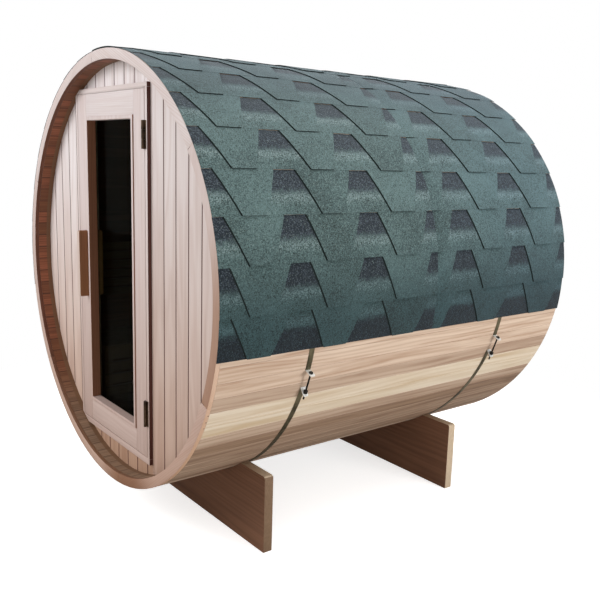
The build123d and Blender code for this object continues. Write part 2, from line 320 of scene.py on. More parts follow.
def makeGranules():
    # mineral granules pressed into felt, with a darker printed shadow and a pale fringe
    tree, take, give = makeGroup(
        "granules",
        {"Vector": "Vector", "Base": "Color", "Deep": "Color", "Shadow": "Color", "Band": "Float",
         "Tone": "Float"},
        {"Color": "Color", "Height": "Float"})
    cell = tree.nodes.new("ShaderNodeTexVoronoi")
    plug(tree, take["Vector"], cell.inputs["Vector"])
    cell.inputs["Scale"].default_value = granuleLook["scale"]
    pick = tree.nodes.new("ShaderNodeSeparateColor")
    plug(tree, cell.outputs["Color"], pick.inputs[0])
    clump = noise(tree, take["Vector"], 75.0, 3.0, 0.65)
    grit = noise(tree, take["Vector"], 210.0, 1.0, 0.5)
    cloud = noise(tree, take["Vector"], 5.0, 3.0, 0.6)
    mixture = add(tree, times(tree, pick.outputs[0], 0.40), times(tree, clump, 0.45))
    mixture = sway(tree, mixture, grit, 0.8, 0.16)
    mixture = sway(tree, mixture, cloud, 0.5)
    mixture = sway(tree, mixture, take["Tone"], 0.12)
    base = mixColor(tree, spread(tree, mixture, 0.25, 1.05), take["Deep"], take["Base"])
    ragged = sway(tree, sway(tree, take["Band"], clump, 0.34), grit, 0.30)
    dark = spread(tree, ragged, 0.42, 0.60)
    fringe = times(tree, spread(tree, ragged, 0.20, 0.42), minus(tree, 1.0, dark))
    fringe = times(tree, fringe, spread(tree, grit, 0.42, 0.62), 0.45)
    base = mixColor(tree, fringe, base, granuleLook["fringe"])
    sparkle = times(tree, spread(tree, add(tree, pick.outputs[2], grit), 1.05, 1.55), 0.55)
    base = mixColor(tree, dark, base, mixColor(tree, sparkle, take["Shadow"], granuleLook["sparkle"]))
    pale = times(tree, spread(tree, pick.outputs[1], 0.90, 0.99), 0.25)
    plug(tree, mixColor(tree, pale, base, granuleLook["pale"]), give["Color"])
    plug(tree, add(tree, cell.outputs["Distance"], clump), give["Height"])
    return tree


granules = makeGranules()


# Materials
def startMaterial(name, metallic=0.0, specular=0.5):
    material = bpy.data.materials.new(name)
    material.use_nodes = True
    tree = material.node_tree
    shader = tree.nodes["Principled BSDF"]
    shader.inputs["Metallic"].default_value = metallic
    shader.inputs["Specular IOR Level"].default_value = specular
    return material, tree, shader


def finishLook(tree, shader, color, roughness, height, strength, depth):
    plug(tree, color, shader.inputs["Base Color"])
    plug(tree, roughness, shader.inputs["Roughness"])
    bump = tree.nodes.new("ShaderNodeBump")
    bump.inputs["Strength"].default_value = strength
    bump.inputs["Distance"].default_value = depth
    plug(tree, height, bump.inputs["Height"])
    plug(tree, bump.outputs[0], shader.inputs["Normal"])


def mixShaders(tree, factor, first, second):
    either = tree.nodes.new("ShaderNodeMixShader")
    for value, socket in zip((factor, first.outputs[0], second.outputs[0]), either.inputs):
        plug(tree, value, socket)
    plug(tree, either.outputs[0], tree.nodes["Material Output"].inputs["Surface"])


def objectPlace(tree):
    return tree.nodes.new("ShaderNodeTexCoord").outputs["Object"]


def facesAlong(tree):
    # how squarely the surface faces along the barrel, from 0 to 1
    normal = tree.nodes.new("ShaderNodeNewGeometry").outputs["Normal"]
    return calc(tree, "ABSOLUTE", split(tree, normal)[1])


def shadeLow(tree, color, height, tone):
    # painted shade: the front is made warmer and deeper towards the ground, where less light reaches it
    return mixColor(tree, spread(tree, height, 0.15, 1.75, 1.0, 0.0), color, tone, "MULTIPLY")


def roundTheAxis(tree):
    # place along the barrel, height over its axis, angle in degrees and distance from the axis
    x, y, z = split(tree, objectPlace(tree))
    up = minus(tree, z, barrel["axisHeight"])
    angle = times(tree, calc(tree, "ARCTAN2", up, x), 57.29578)
    return y, up, angle, distance(tree, x, up)


staveLook = {
    # a light and a dark tone of each
    "pale": ("E0D3C0", "C6B092"),
    "warm": ("D8C2AE", "B0917A"),
    "brown": ("92755D", "694F3C"),
    # the inner faces are darker and redder than the outside, partly their wood and partly painted shade of
    # the recess
    "inside": ("A45F40", "83502F"),
    "insideLowLit": ("947860", "6C5440"),      # painted light: the floor of the recess faces up and is paler
    "insideDark": "63371F",
    "seam": "3F2418",
    "roomShade": (-0.84, "A9ACA6"),              # painted shade: behind the front wall the staves are darkened and greyed
    "cornerShade": (-0.902, -0.85, "6E4E34"),      # painted shade: a darker, smooth strip of the staves in the corner round the front wall
    "width": 0.063,
    "spacing": 0.0105,
    "rightFrom": -53.0,
    # tones of the staves under the eaves on the right: upper end of each angle, then 0 pale to 1 brown; the
    # lower staves are browner, partly their wood and partly painted shade
    "rightTonesAndShade": ((-45, 0.755), (-41, 0.77), (-37, 0.82), (-33, 0.67), (-29, 0.03), (-25, 0.10),
                   (-21, 0.66), (0, 0.46)),
}


def staveWood():
    material, tree, shader = startMaterial("staveWood")
    y, up, angle, far = roundTheAxis(tree)
    index, along = cells(tree, angle, barrel["staveTurn"], 360 / barrel["staveCount"])
    luck = randomOf(tree, add(tree, index, 211.0))
    second = randomOf(tree, add(tree, index, 87.5))
    right = between(tree, angle, staveLook["rightFrom"], 0.0)
    tone = mixValue(tree, right, luck, steps(tree, angle, staveLook["rightTonesAndShade"]))
    within = spread(tree, far, barrel["inner"] + 0.006, barrel["inner"] + 0.010, 1.0, 0.0)
    # painted light on the floor of the recess, which faces up
    upwardLit = spread(tree, up, -0.82, -0.52, 1.0, 0.0)
    # painted shade of the dim room behind the front wall
    roomShade = calc(tree, "GREATER_THAN", y, staveLook["roomShade"][0])
    inside = mixColor(tree, spread(tree, second, 0.35, 0.75), *staveLook["inside"])
    inside = mixColor(tree, times(tree, luck, 0.45), inside, staveLook["insideDark"])
    tones = []
    for number, inner in enumerate((inside, staveLook["insideDark"])):
        pale, warm, brown, low = (staveLook[key][number] for key in ("pale", "warm", "brown", "insideLowLit"))
        outer = mixColor(tree, spread(tree, tone, 0.05, 0.5), pale, warm)
        outer = mixColor(tree, spread(tree, tone, 0.5, 0.9), outer, brown)
        inner = mixColor(tree, upwardLit, inner, low)
        inner = mixColor(tree, roomShade, inner, staveLook["roomShade"][1], "MULTIPLY")
        tones.append(mixColor(tree, within, outer, inner))
    light, dark = tones
    place = join(tree, times(tree, along, staveLook["width"]), minus(tree, far, barrel["radius"]), y)
    grain = useGroup(tree, woodGrain, Vector=place, Seed=times(tree, second, 40.0),
                     Light=light, Dark=dark, Figure=0.36, Spacing=staveLook["spacing"], Wild=1.0)
    ends = useGroup(tree, endGrain, Vector=place, Seed=second, Light=light, Dark=dark)
    color = mixColor(tree, spread(tree, facesAlong(tree), 0.8, 0.95), grain["Color"], ends["Color"])
    edge = add(tree, calc(tree, "ABSOLUTE", along), times(tree, within, 0.022))
    seam = times(tree, spread(tree, edge, 0.478, 0.494), add(tree, 0.22, times(tree, within, 0.6)))
    color = mixColor(tree, seam, color, staveLook["seam"])
    # painted shade in the corner by the front wall
    cornerShade = times(tree, between(tree, y, *staveLook["cornerShade"][:2]), within, 0.85)
    color = mixColor(tree, cornerShade, color, staveLook["cornerShade"][2])
    finishLook(tree, shader, color, grain["Roughness"], grain["Height"], 0.35, 0.0006)
    return material


# low: the painted shade the boards warm and darken to near the ground
boardLook = {"pitch": 0.095, "joint": "4E1E10", "jointHalf": (0.0042, 0.0026), "low": "E0C5B0"}


def boardWood(name, light, dark, start, limits=(-1.0, 1.0)):
    # upright boards from start on; their dark joints are drawn between the limits
    material, tree, shader = startMaterial(name)
    pitch = boardLook["pitch"]
    x, y, z = split(tree, objectPlace(tree))
    index, along = cells(tree, x, start, pitch)
    luck = randomOf(tree, add(tree, index, 31.0))
    place = join(tree, times(tree, along, pitch), y, z)
    tint = add(tree, times(tree, luck, 0.35), -0.1, clamp=True)
    grain = useGroup(tree, woodGrain, Vector=place, Seed=times(tree, luck, 50.0),
                     Light=mixColor(tree, tint, light, dark), Dark=dark, Figure=0.3, Spacing=0.007)
    soft, hard = (0.5 - half / pitch for half in boardLook["jointHalf"])
    joint = spread(tree, calc(tree, "ABSOLUTE", along), soft, hard)
    joint = times(tree, joint, between(tree, x, *limits), 0.95)
    color = shadeLow(tree, grain["Color"], z, boardLook["low"])
    color = mixColor(tree, joint, color, boardLook["joint"])
    finishLook(tree, shader, color, grain["Roughness"], grain["Height"], 0.25, 0.0004)
    return material


def plainWood(name, light, dark, along, figure, spacing=0.007, seed=1.0, rougher=0.0, pieceWidth=0.0,
              low=None):
    # timber whose grain runs along one axis; pieceWidth gives each slat its own tone, low paints shade that
    # warms and darkens its foot
    material, tree, shader = startMaterial(name)
    x, y, z = split(tree, objectPlace(tree))
    order = {"Z": (x, y, z), "X": (z, y, x), "Y": (x, z, y)}[along]
    tone = light
    if pieceWidth:
        index = calc(tree, "FLOOR", calc(tree, "DIVIDE", add(tree, order[0], order[1]), pieceWidth))
        seed = times(tree, randomOf(tree, index), 20.0)
        tone = mixColor(tree, times(tree, randomOf(tree, add(tree, index, 9.0)), 0.5), light, dark)
    grain = useGroup(tree, woodGrain, Vector=join(tree, *order), Seed=seed,
                     Light=tone, Dark=dark, Figure=figure, Spacing=spacing)
    color = shadeLow(tree, grain["Color"], z, low) if low else grain["Color"]
    finishLook(tree, shader, color, add(tree, grain["Roughness"], rougher), grain["Height"], 0.3, 0.0005)
    return material


ringLook = {
    "joint": -23.3,
    "span": 60.0,
    "light": "DBD1D0",
    "dark": "BFA79F",
    "outside": ("DEC9B8", "CDB39E"),
    # the inner side, dark brown in the recess: painted shade
    "inner": ("70422C", "4C2A1A"),
    # painted shade towards the ground
    "low": "E6CCB8",
    "brownArc": "D8C3B0",    # the right of the ring over its lowest joint
    # painted shade: a warm brown darkening about the bottom of the ring's face
    "stainAndShade": (-79.0, "C2A98F"),
}


def ringWood():
    # every arc is sawn from a straight board, so its grain runs along its own chord
    material, tree, shader = startMaterial("ringWood")
    y, up, angle, far = roundTheAxis(tree)
    index, along = cells(tree, angle, ringLook["joint"], ringLook["span"])
    rest = times(tree, along, math.radians(ringLook["span"]))
    place = join(tree, times(tree, far, calc(tree, "COSINE", rest)), y,
                 times(tree, far, calc(tree, "SINE", rest)))
    luck = randomOf(tree, add(tree, index, 3.0))
    isSide = spread(tree, facesAlong(tree), 0.25, 0.6, 1.0, 0.0)
    outward = calc(tree, "GREATER_THAN", far, (barrel["radius"] + barrel["inner"]) / 2)
    # painted light low down, where the inner side faces up
    upwardLit = spread(tree, up, -0.82, -0.35, 1.0, 0.0)
    inner = mixColor(tree, upwardLit, ringLook["inner"][0], staveLook["insideLowLit"][0])
    side = mixColor(tree, outward, inner, ringLook["outside"][0])
    sideDark = mixColor(tree, outward, ringLook["inner"][1], ringLook["outside"][1])
    tone = mixColor(tree, times(tree, luck, 0.35), ringLook["light"], ringLook["dark"])
    grain = useGroup(tree, woodGrain, Vector=place, Seed=times(tree, luck, 30.0), Figure=0.3, Spacing=0.006,
                     Light=mixColor(tree, isSide, tone, side),
                     Dark=mixColor(tree, isSide, ringLook["dark"], sideDark))
    color = shadeLow(tree, grain["Color"], add(tree, up, barrel["axisHeight"]), ringLook["low"])
    brown = times(tree, calc(tree, "COMPARE", index, 0.0, 0.5), spread(tree, angle, -4.0, 24.0, 1.0, 0.0))
    # painted shade about the bottom of the ring's face
    aside = calc(tree, "ABSOLUTE", minus(tree, angle, ringLook["stainAndShade"][0]))
    stainAndShade = spread(tree, aside, 4.0, 20.0, 1.0, 0.0)
    isFace = minus(tree, 1.0, isSide)
    for amount, mark in ((brown, ringLook["brownArc"]), (stainAndShade, ringLook["stainAndShade"][1])):
        color = mixColor(tree, times(tree, amount, isFace), color, mark, "MULTIPLY")
    finishLook(tree, shader, color, grain["Roughness"], grain["Height"], 0.25, 0.0004)
    return material


shingleLook = {
    "base": "576D6C",
    "deep": "12211F",
    "shadow": "0F1820",
    "edge": ("06090C", "2A3332"),
    # painted shade: the lower and upper rows are darkened, and the rear is darkened and turned bluish as a
    # painted sheen
    "low": "93AEB7",
    "high": "ABB9C2",
    "rear": "DFECF8",
    "sheen": (0.38, "C8D4DA"),
}


def shingleFelt():
    material, tree, shader = startMaterial("shingleFelt", specular=0.25)
    felt = useGroup(tree, granules, Vector=objectPlace(tree), Base=shingleLook["base"],
                    Deep=shingleLook["deep"], Shadow=shingleLook["shadow"],
                    Band=attribute(tree, "band"), Tone=attribute(tree, "tone"))
    x, y, z = split(tree, objectPlace(tree))
    color = felt["Color"]
    # painted shade by height, and painted bluish sheen towards the rear
    for name, amount in (("low", spread(tree, z, 0.92, 1.36, 1.0, 0.0)),
                         ("high", spread(tree, z, 1.66, 1.93)),
                         ("rear", spread(tree, y, -0.3, 0.8))):
        color = mixColor(tree, amount, color, shingleLook[name], "MULTIPLY")
    plug(tree, shingleLook["sheen"][0], shader.inputs["Sheen Weight"])
    plug(tree, shingleLook["sheen"][1], shader.inputs["Sheen Tint"])
    finishLook(tree, shader, color, 0.92, felt["Height"], 0.6, 0.0012)
    return material


def shingleEdgeAndShadow():
    # near-black felt edges, also laid beside the teeth as painted shadow
    material, tree, shader = startMaterial("shingleEdgeAndShadow", specular=0.2)
    speck = noise(tree, objectPlace(tree), 500.0)
    finishLook(tree, shader, mixColor(tree, speck, *shingleLook["edge"]), 0.95, speck, 0.4, 0.001)
    return material


def metal(name, light, dark, roughness, metallic=1.0, along=(1.0, 1.0, 1.0)):
    # brushed or cast metal, its scratches stretched by the factors in along
    material, tree, shader = startMaterial(name, metallic)
    brush = noise(tree, vectorCalc(tree, "MULTIPLY", objectPlace(tree), along), 300.0, 3.0, 0.6)
    stainAndShade = spread(tree, noise(tree, objectPlace(tree), 14.0, 3.0, 0.6), 0.35, 0.7)
    finishLook(tree, shader, mixColor(tree, stainAndShade, light, dark),
               add(tree, roughness - 0.1, times(tree, brush, 0.2)), brush, 0.25, 0.0003)
    return material


glassLook = {"tint": "939C8E", "shadow": "DCDAD4", "bending": 1.04}


def darkGlass():
    # smoked pane; its shadow lets daylight through to the bench
    material, tree, shader = startMaterial("darkGlass")
    plug(tree, glassLook["tint"], shader.inputs["Base Color"])
    shader.inputs["Transmission Weight"].default_value = 1.0
    shader.inputs["IOR"].default_value = glassLook["bending"]
    smear = spread(tree, noise(tree, objectPlace(tree), 5.0, 3.0), 0.4, 0.8)
    plug(tree, add(tree, 0.01, times(tree, smear, 0.05)), shader.inputs["Roughness"])
    clear = tree.nodes.new("ShaderNodeBsdfTransparent")
    plug(tree, glassLook["shadow"], clear.inputs[0])
    path = tree.nodes.new("ShaderNodeLightPath")
    mixShaders(tree, path.outputs["Is Shadow Ray"], shader, clear)
    return material


wallTone = ("E1D9D9", "C4B1AB")
# painted light: the boards left of and over the door are paler than those on the right, against the shade of
# the recess
leftLitTone = ("EEE9EB", "CFBEBA")
frameTone = ("DED4D3", "C4AFA9")
# painted shade that the door and frame warm and darken to near the ground
doorShadeLow = "E9D8CD"
materials = {
    "stave": staveWood(),
    "ring": ringWood(),
    "wallRight": boardWood("wallRight", *wallTone, 0.370, (0.30, 1.0)),
    "wallLeft": boardWood("wallLeft", *leftLitTone, -0.574),
    "wallOver": boardWood("wallOver", *leftLitTone, 0.0375, (-1.0, 0.20)),
    "wallUnder": boardWood("wallUnder", "D6C6BC", "B49A8A", 0.0275),
    "wallRear": boardWood("wallRear", "D8CABC", "B79E8A", 0.0475),
    "doorUpright": plainWood("doorUpright", "D9CDCC", "C0AAA3", "Z", 0.14, seed=2.0, low=doorShadeLow),
    "doorAcross": plainWood("doorAcross", "DED5D5", "C5B1AC", "X", 0.14, seed=5.0, low=doorShadeLow),
    "frameUpright": plainWood("frameUpright", *frameTone, "Z", 0.14, seed=7.0, low=doorShadeLow),
    "frameAcross": plainWood("frameAcross", *frameTone, "X", 0.14, seed=9.0, low=doorShadeLow),
    "revealShade": plainWood("revealShade", "8B5B40", "603A24", "Z", 0.3, seed=6.0),
    "jambShade": plainWood("jambShade", "55281C", "38170F", "Z", 0.3, seed=8.0),
    # painted light and shade: the handles take a dark copy of their wood on the sides, a pale one on the
    # front and a brighter one on the inner grip
    "handleShade": plainWood("handleShade", "A26C46", "6E4428", "Z", 0.5, 0.004, 3.0),
    "innerGripLit": plainWood("innerGripLit", "BC8A64", "8E6040", "Z", 0.4, 0.004, 4.0),
    "handleLitFront": plainWood("handleLitFront", "D8C6BC", "B08C78", "Z", 0.3, 0.004, 3.0),
    # painted light and shade: the cradles take shaded copies of their wood on the faces and lit ones on the
    # tops and ends
    "cradleFaceShade": plainWood("cradleFaceShade", "865E46", "523424", "X", 0.22, 0.009, 4.0, 0.1),
    "cradleEndLit": plainWood("cradleEndLit", "80664E", "5A432F", "X", 0.2, 0.008, 6.0, 0.1),
    "cradleBackFaceShade": plainWood("cradleBackFaceShade", "886048", "543626", "X", 0.22, 0.009, 5.0, 0.1),
    "cradleLit": plainWood("cradleLit", "CDB99F", "A28C74", "X", 0.2, 0.008, 7.0, 0.1),
    # the hut's floor, benches and slats take a deep tone, partly their wood and partly painted shade of the
    # dim room behind the glass
    "inside": plainWood("inside", "6A523E", "3A2A20", "Y", 0.4, 0.006, pieceWidth=0.11),
    "shingle": shingleFelt(),
    "shingleEdgeAndShadow": shingleEdgeAndShadow(),
    "steel": metal("steel", "827C66", "4E4A3A", 0.40, along=(1.0, 0.05, 1.0)),
    # painted highlight on the straps' bent ends
    "steelHighlight": metal("steelHighlight", "ECECE8", "CFCFCB", 0.42, 0.35),
    "blackBolt": metal("blackBolt", "2C2A27", "15130F", 0.45, 0.6),
    "bronze": metal("bronze", "5A4838", "30261E", 0.42, 0.8),
    "glass": darkGlass(),
}
print("stage: materials made")


# Mesh helpers
def meshObject(bm, name):
    mesh = bpy.data.meshes.new(name)
    bm.to_mesh(mesh)
    bm.free()
    made = bpy.data.objects.new(name, mesh)
    bpy.context.scene.collection.objects.link(made)
    return made


def finishPiece(bm, name, looks, body="barrel", replaces=(), smooth=35.0):
    piece = meshObject(bm, name)
    mesh = piece.data
    for look in [looks] if isinstance(looks, str) else looks:
        mesh.materials.append(materials[look])
    mesh.polygons.foreach_set("use_smooth", [True] * len(mesh.polygons))
    mesh.set_sharp_from_angle(angle=math.radians(smooth))
    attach(piece, body)
    if replaces:
        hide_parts(*replaces)


def edgesOf(verts):
    return {e for v in verts for e in v.link_edges}


def bevelEdges(bm, edges, width, segments=2):
    return bmesh.ops.bevel(bm, geom=list(edges), offset=width, offset_type="OFFSET", segments=segments,
                           profile=0.5, affect="EDGES", clamp_overlap=True, material=-1)["verts"]


def softEdges(bm, width, segments=2):
    sharp = [e for e in bm.edges if e.is_manifold and e.calc_face_angle(0.0) > math.radians(40)]
    bevelEdges(bm, sharp, width, segments)


def takeNode(node):
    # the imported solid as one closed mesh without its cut-up flat faces
    bm = bmesh.new()
    bm.from_mesh(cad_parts[node].data)
    bmesh.ops.remove_doubles(bm, verts=bm.verts, dist=1e-5)
    bmesh.ops.dissolve_limit(bm, angle_limit=math.radians(0.5), verts=bm.verts, edges=bm.edges)
    return bm


def easedNode(node, name, looks, width, body="barrel", marked=None):
    # marked tells which of the looks a face takes
    bm = takeNode(node)
    softEdges(bm, width)
    if marked:
        for face in bm.faces:
            face.material_index = int(marked(face))
    finishPiece(bm, name, looks, body, (node,))


def addBox(bm, low, high):
    made = bmesh.ops.create_cube(bm, size=1.0)["verts"]
    bmesh.ops.scale(bm, vec=[h - l for l, h in zip(low, high)], verts=made)
    bmesh.ops.translate(bm, vec=[(l + h) / 2 for l, h in zip(low, high)], verts=made)
    return made


def aroundAxis(angle, far, y):
    a = math.radians(angle)
    return Vector((far * math.cos(a), y, barrel["axisHeight"] + far * math.sin(a)))


def spotOnBarrel(angle, far, y):
    # a place round the barrel whose X points outwards and Z along the curve
    turn = Matrix.Rotation(-math.radians(angle), 4, "Y")
    return Matrix.Translation((0, 0, barrel["axisHeight"])) @ turn @ Matrix.Translation((far, y, 0))


def bentBar(bm, inner, outer, y0, y1, start, sweep, steps):
    # a bar of rectangular section bent round the barrel's axis, its angles in degrees
    middle = (0, 0, 0)
    section = ((inner, y0), (outer, y0), (outer, y1), (inner, y1))
    bm.faces.new([bm.verts.new((far, y, 0)) for far, y in section])
    bmesh.ops.rotate(bm, verts=bm.verts, cent=middle, matrix=Matrix.Rotation(-math.radians(start), 3, "Y"))
    bmesh.ops.spin(bm, geom=bm.faces[:] + bm.edges[:] + bm.verts[:], cent=middle, axis=(0, 1, 0),
                   dvec=(0, 0, 0), angle=-math.radians(sweep), steps=steps)
    bmesh.ops.translate(bm, vec=(0, 0, barrel["axisHeight"]), verts=bm.verts)
    bmesh.ops.recalc_face_normals(bm, faces=bm.faces)


def dressNode(node, look):
    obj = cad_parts[node]
    obj.data.materials.clear()
    obj.data.materials.append(materials[look])


# Shell and end walls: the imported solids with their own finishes
for number in range(1, 11):
    dressNode("staves_%02d" % number, "stave")
dressNode("front_wall_left", "wallLeft")
dressNode("front_wall_right", "wallRight")
dressNode("front_wall_over_door", "wallOver")
dressNode("front_wall_under_door", "wallUnder")
dressNode("rear_wall", "wallRear")
for node in ("floor_boards", "floor_joists", "bench_seat", "bench_bearers", "bench_skirt", "bench_backrest"):
    dressNode(node, "inside")
print("stage: shell, walls and inside dressed")


# Trim ring of six sawn arcs
ring = {"thickness": 0.018, "arcs": 6, "gap": 0.0008, "ease": 0.0016, "steps": 24}


def makeRing():
    halfGap = math.degrees(ring["gap"] / 2 / barrel["radius"])
    for number in range(ring["arcs"]):
        start = ringLook["joint"] + number * ringLook["span"] + halfGap
        bm = bmesh.new()
        bentBar(bm, barrel["inner"], barrel["radius"], barrel["front"], barrel["front"] + ring["thickness"],
                start, ringLook["span"] - 2 * halfGap, ring["steps"])
        softEdges(bm, ring["ease"])
        finishPiece(bm, "trimArc%d" % (number + 1), "ring",
                    replaces=("front_ring_%d" % (number + 1),))


makeRing()

nails = {
    "joints": (0, 4, 5),
    "turns": (2.1, 4.1, 6.0),
    "place": -0.9455,
    "radius": 0.0026,
    "depth": 0.002,
    "proud": 0.0005,
}


def makeNails():
    # nails that hold the ring beside each joint below the eaves
    bm = bmesh.new()
    out = barrel["radius"] + nails["proud"] - nails["depth"] / 2
    for number in nails["joints"]:
        for turn in nails["turns"]:
            angle = ringLook["joint"] + number * ringLook["span"] - turn
            made = bmesh.ops.create_cone(bm, cap_ends=True, segments=10, radius1=nails["radius"],
                                         radius2=nails["radius"] * 0.7, depth=nails["depth"])["verts"]
            place = spotOnBarrel(angle, out, nails["place"]) @ Matrix.Rotation(math.radians(90), 4, "Y")
            bmesh.ops.transform(bm, matrix=place, verts=made)
    finishPiece(bm, "ringNails", "blackBolt")


makeNails()
print("stage: trim ring")


# Door frame, leaf, hinges and handles
door = {
    "ease": 0.0012,
    "beadEase": 0.002,
    "handleEase": 0.002,
    "hingeEase": 0.0006,
    "frameSide": 0.26,       # past this X lies the frame's right side, in the shade
    "handleLitFront": -0.9,     # before this Y a handle's face takes the pale lit copy of its wood, painted light
    "innerGripLit": -0.86,    # past this Y is the inner grip, painted lighter to show through the dark glass
    "plateEdge": 0.004,
    "plateTrim": 0.009,
}


def inShade(face):
    return face.normal.x > 0.9 and face.calc_center_median().x > door["frameSide"]


def handleSide(face):
    # painted light and shade: pale fronts, dark sides and a brighter inner grip
    y = face.calc_center_median().y
    return 2 if y > door["innerGripLit"] else face.normal.y < -0.8 and y < door["handleLitFront"]


easedNode("door_jamb_left", "jambLeft", "frameUpright", door["ease"])
for node, name, look in (("door_jamb_right", "jambRight", "frameUpright"),
                         ("door_head", "headBoard", "frameAcross"),
                         ("door_sill", "sillBoard", "frameAcross")):
    easedNode(node, name, (look, "jambShade"), door["ease"], marked=inShade)
easedNode("door_stiles", "leafStiles", "doorUpright", door["ease"], "door")
easedNode("door_rails", "leafRails", "doorAcross", door["ease"], "door")
easedNode("door_beads", "leafBeads", ("doorUpright", "revealShade"), door["beadEase"], "door",
          marked=lambda face: face.normal.x > 0.9)
easedNode("door_handles", "leafHandles", ("handleShade", "handleLitFront", "innerGripLit"), door["handleEase"],
          "door", marked=handleSide)
easedNode("frame_hinge_leaves", "hingeLeavesFrame", "bronze", door["hingeEase"])
dressNode("door_glass", "glass")


def makeLeafHinges():
    # the plates on the leaf are let in, so only a narrow edge of them shows
    bm = takeNode("door_hinge_leaves")
    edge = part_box("door_hinge_leaves")[0].x
    for v in bm.verts:
        if v.co.x < edge + door["plateEdge"]:
            v.co.x += door["plateTrim"]
    softEdges(bm, door["hingeEase"])
    finishPiece(bm, "hingeLeavesDoor", "bronze", "door", ("door_hinge_leaves",))


makeLeafHinges()

seal = {"side": 0.002, "back": 0.0006, "depth": 0.016, "gap": 0.0015, "top": 0.0046, "ease": 0.0004}


def makeHeadSeal():
    # pale strip under the head board, so the gap over the leaf is a fine line
    low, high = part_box("door_stiles")
    front = low.y + seal["back"]
    bm = bmesh.new()
    made = addBox(bm, (low.x + seal["side"], front, high.z + seal["gap"]),
                  (high.x - seal["side"], front + seal["depth"], high.z + seal["top"]))
    bevelEdges(bm, edgesOf(made), seal["ease"])
    finishPiece(bm, "headSeal", "frameAcross")


makeHeadSeal()
print("stage: door")


# Shingle roof: a stepped base sheet and raised teeth in every course
roof = {
    "eaves": -11.5,
    "eavesCourse": 9.6,
    "course": 10.75,
    "courses": 9,
    "butt": 0.0092,          # outer face over the staves at a course's lower edge
    "fall": 0.0040,          # how much lower it is at the upper edge
    "sheet": 0.0036,
    "base": 0.0015,
    # where each slot starts and ends along the barrel, at its upper and at its lower edge
    "slots": ((-0.2, 0.043, -0.2, 0.119), (0.290, 0.382, 0.215, 0.457), (0.638, 0.730, 0.562, 0.806),
              (1.000, 1.038, 0.925, 1.038), (1.155, 1.248, 1.079, 1.323), (1.517, 1.610, 1.441, 1.685),
              (1.883, 2.2, 1.807, 2.2)),
    "lap": (0.02, 0.10),     # degrees by which a tooth passes its course's lower and upper edge
    "sink": 0.0004,          # how far a tooth reaches into the sheet under it
    "cutting": 0.003,        # how unevenly the teeth are cut
    "curl": 0.0008,
    "shadowStrip": 0.0045,       # painted shadow: dark strip beside each tooth
    "shadowStripRise": 0.0006,
    "shadowStripLap": 0.001,
    "shadowStripShort": 0.05,        # degrees by which it stays above its course's lower edge
    "seam": 1.038,           # here two strips meet without a gap
    "seamBlend": 0.06,
    "taper": (0.45, 0.06),   # share by which the felt is pressed down at the ring, and over what length
    "wave": 0.0009,
    "seed": 4,
}


def courseAngle(number):
    return roof["eaves"] + (roof["eavesCourse"] + (number - 1) * roof["course"] if number else 0.0)


def ripple(y, angle):
    wave = math.sin(y * 23.0 + angle * 0.31) + math.sin(y * 9.0 - angle * 0.17 + 1.3)
    return roof["wave"] * wave * 0.5


def bendOnRoof(verts, side, lift):
    # flat layout: X along the barrel from the ring, Y the angle, Z the height over the staves
    for v in verts:
        y, angle, high = v.co
        press = 1.0 - roof["taper"][0] * math.exp(-max(y, 0.0) / roof["taper"][1])
        place = aroundAxis(angle, barrel["radius"] + (high + lift(y, angle)) * press, barrel["front"] + y)
        v.co = Vector((place.x * side, place.y, place.z))


def roofSlab(bm, corners, a0, a1, top, fall, thick, cutsAlong, cutsUp=5):
    # corners: start and end along the barrel, at the lower and at the upper edge
    low0, low1, top0, top1 = corners
    made = bmesh.ops.create_grid(bm, x_segments=cutsAlong, y_segments=cutsUp, size=0.5)["verts"]
    for v in made:
        u, w = v.co.x + 0.5, v.co.y + 0.5
        start, end = low0 + (top0 - low0) * w, low1 + (top1 - low1) * w
        v.co = Vector((start + (end - start) * u, a0 + (a1 - a0) * w, top - fall * w))
    faces = list({f for v in made for f in v.link_faces})
    lower = bmesh.ops.extrude_face_region(bm, geom=faces)["geom"]
    lower = [g for g in lower if isinstance(g, bmesh.types.BMVert)]
    bmesh.ops.translate(bm, vec=(0, 0, -thick), verts=lower)
    return made + lower


def toothSpans():
    # each tooth between two slots, as (lower start, lower end, upper start, upper end)
    pairs = zip(roof["slots"], roof["slots"][1:])
    return [(left[3], right[2], left[1], right[0]) for left, right in pairs]


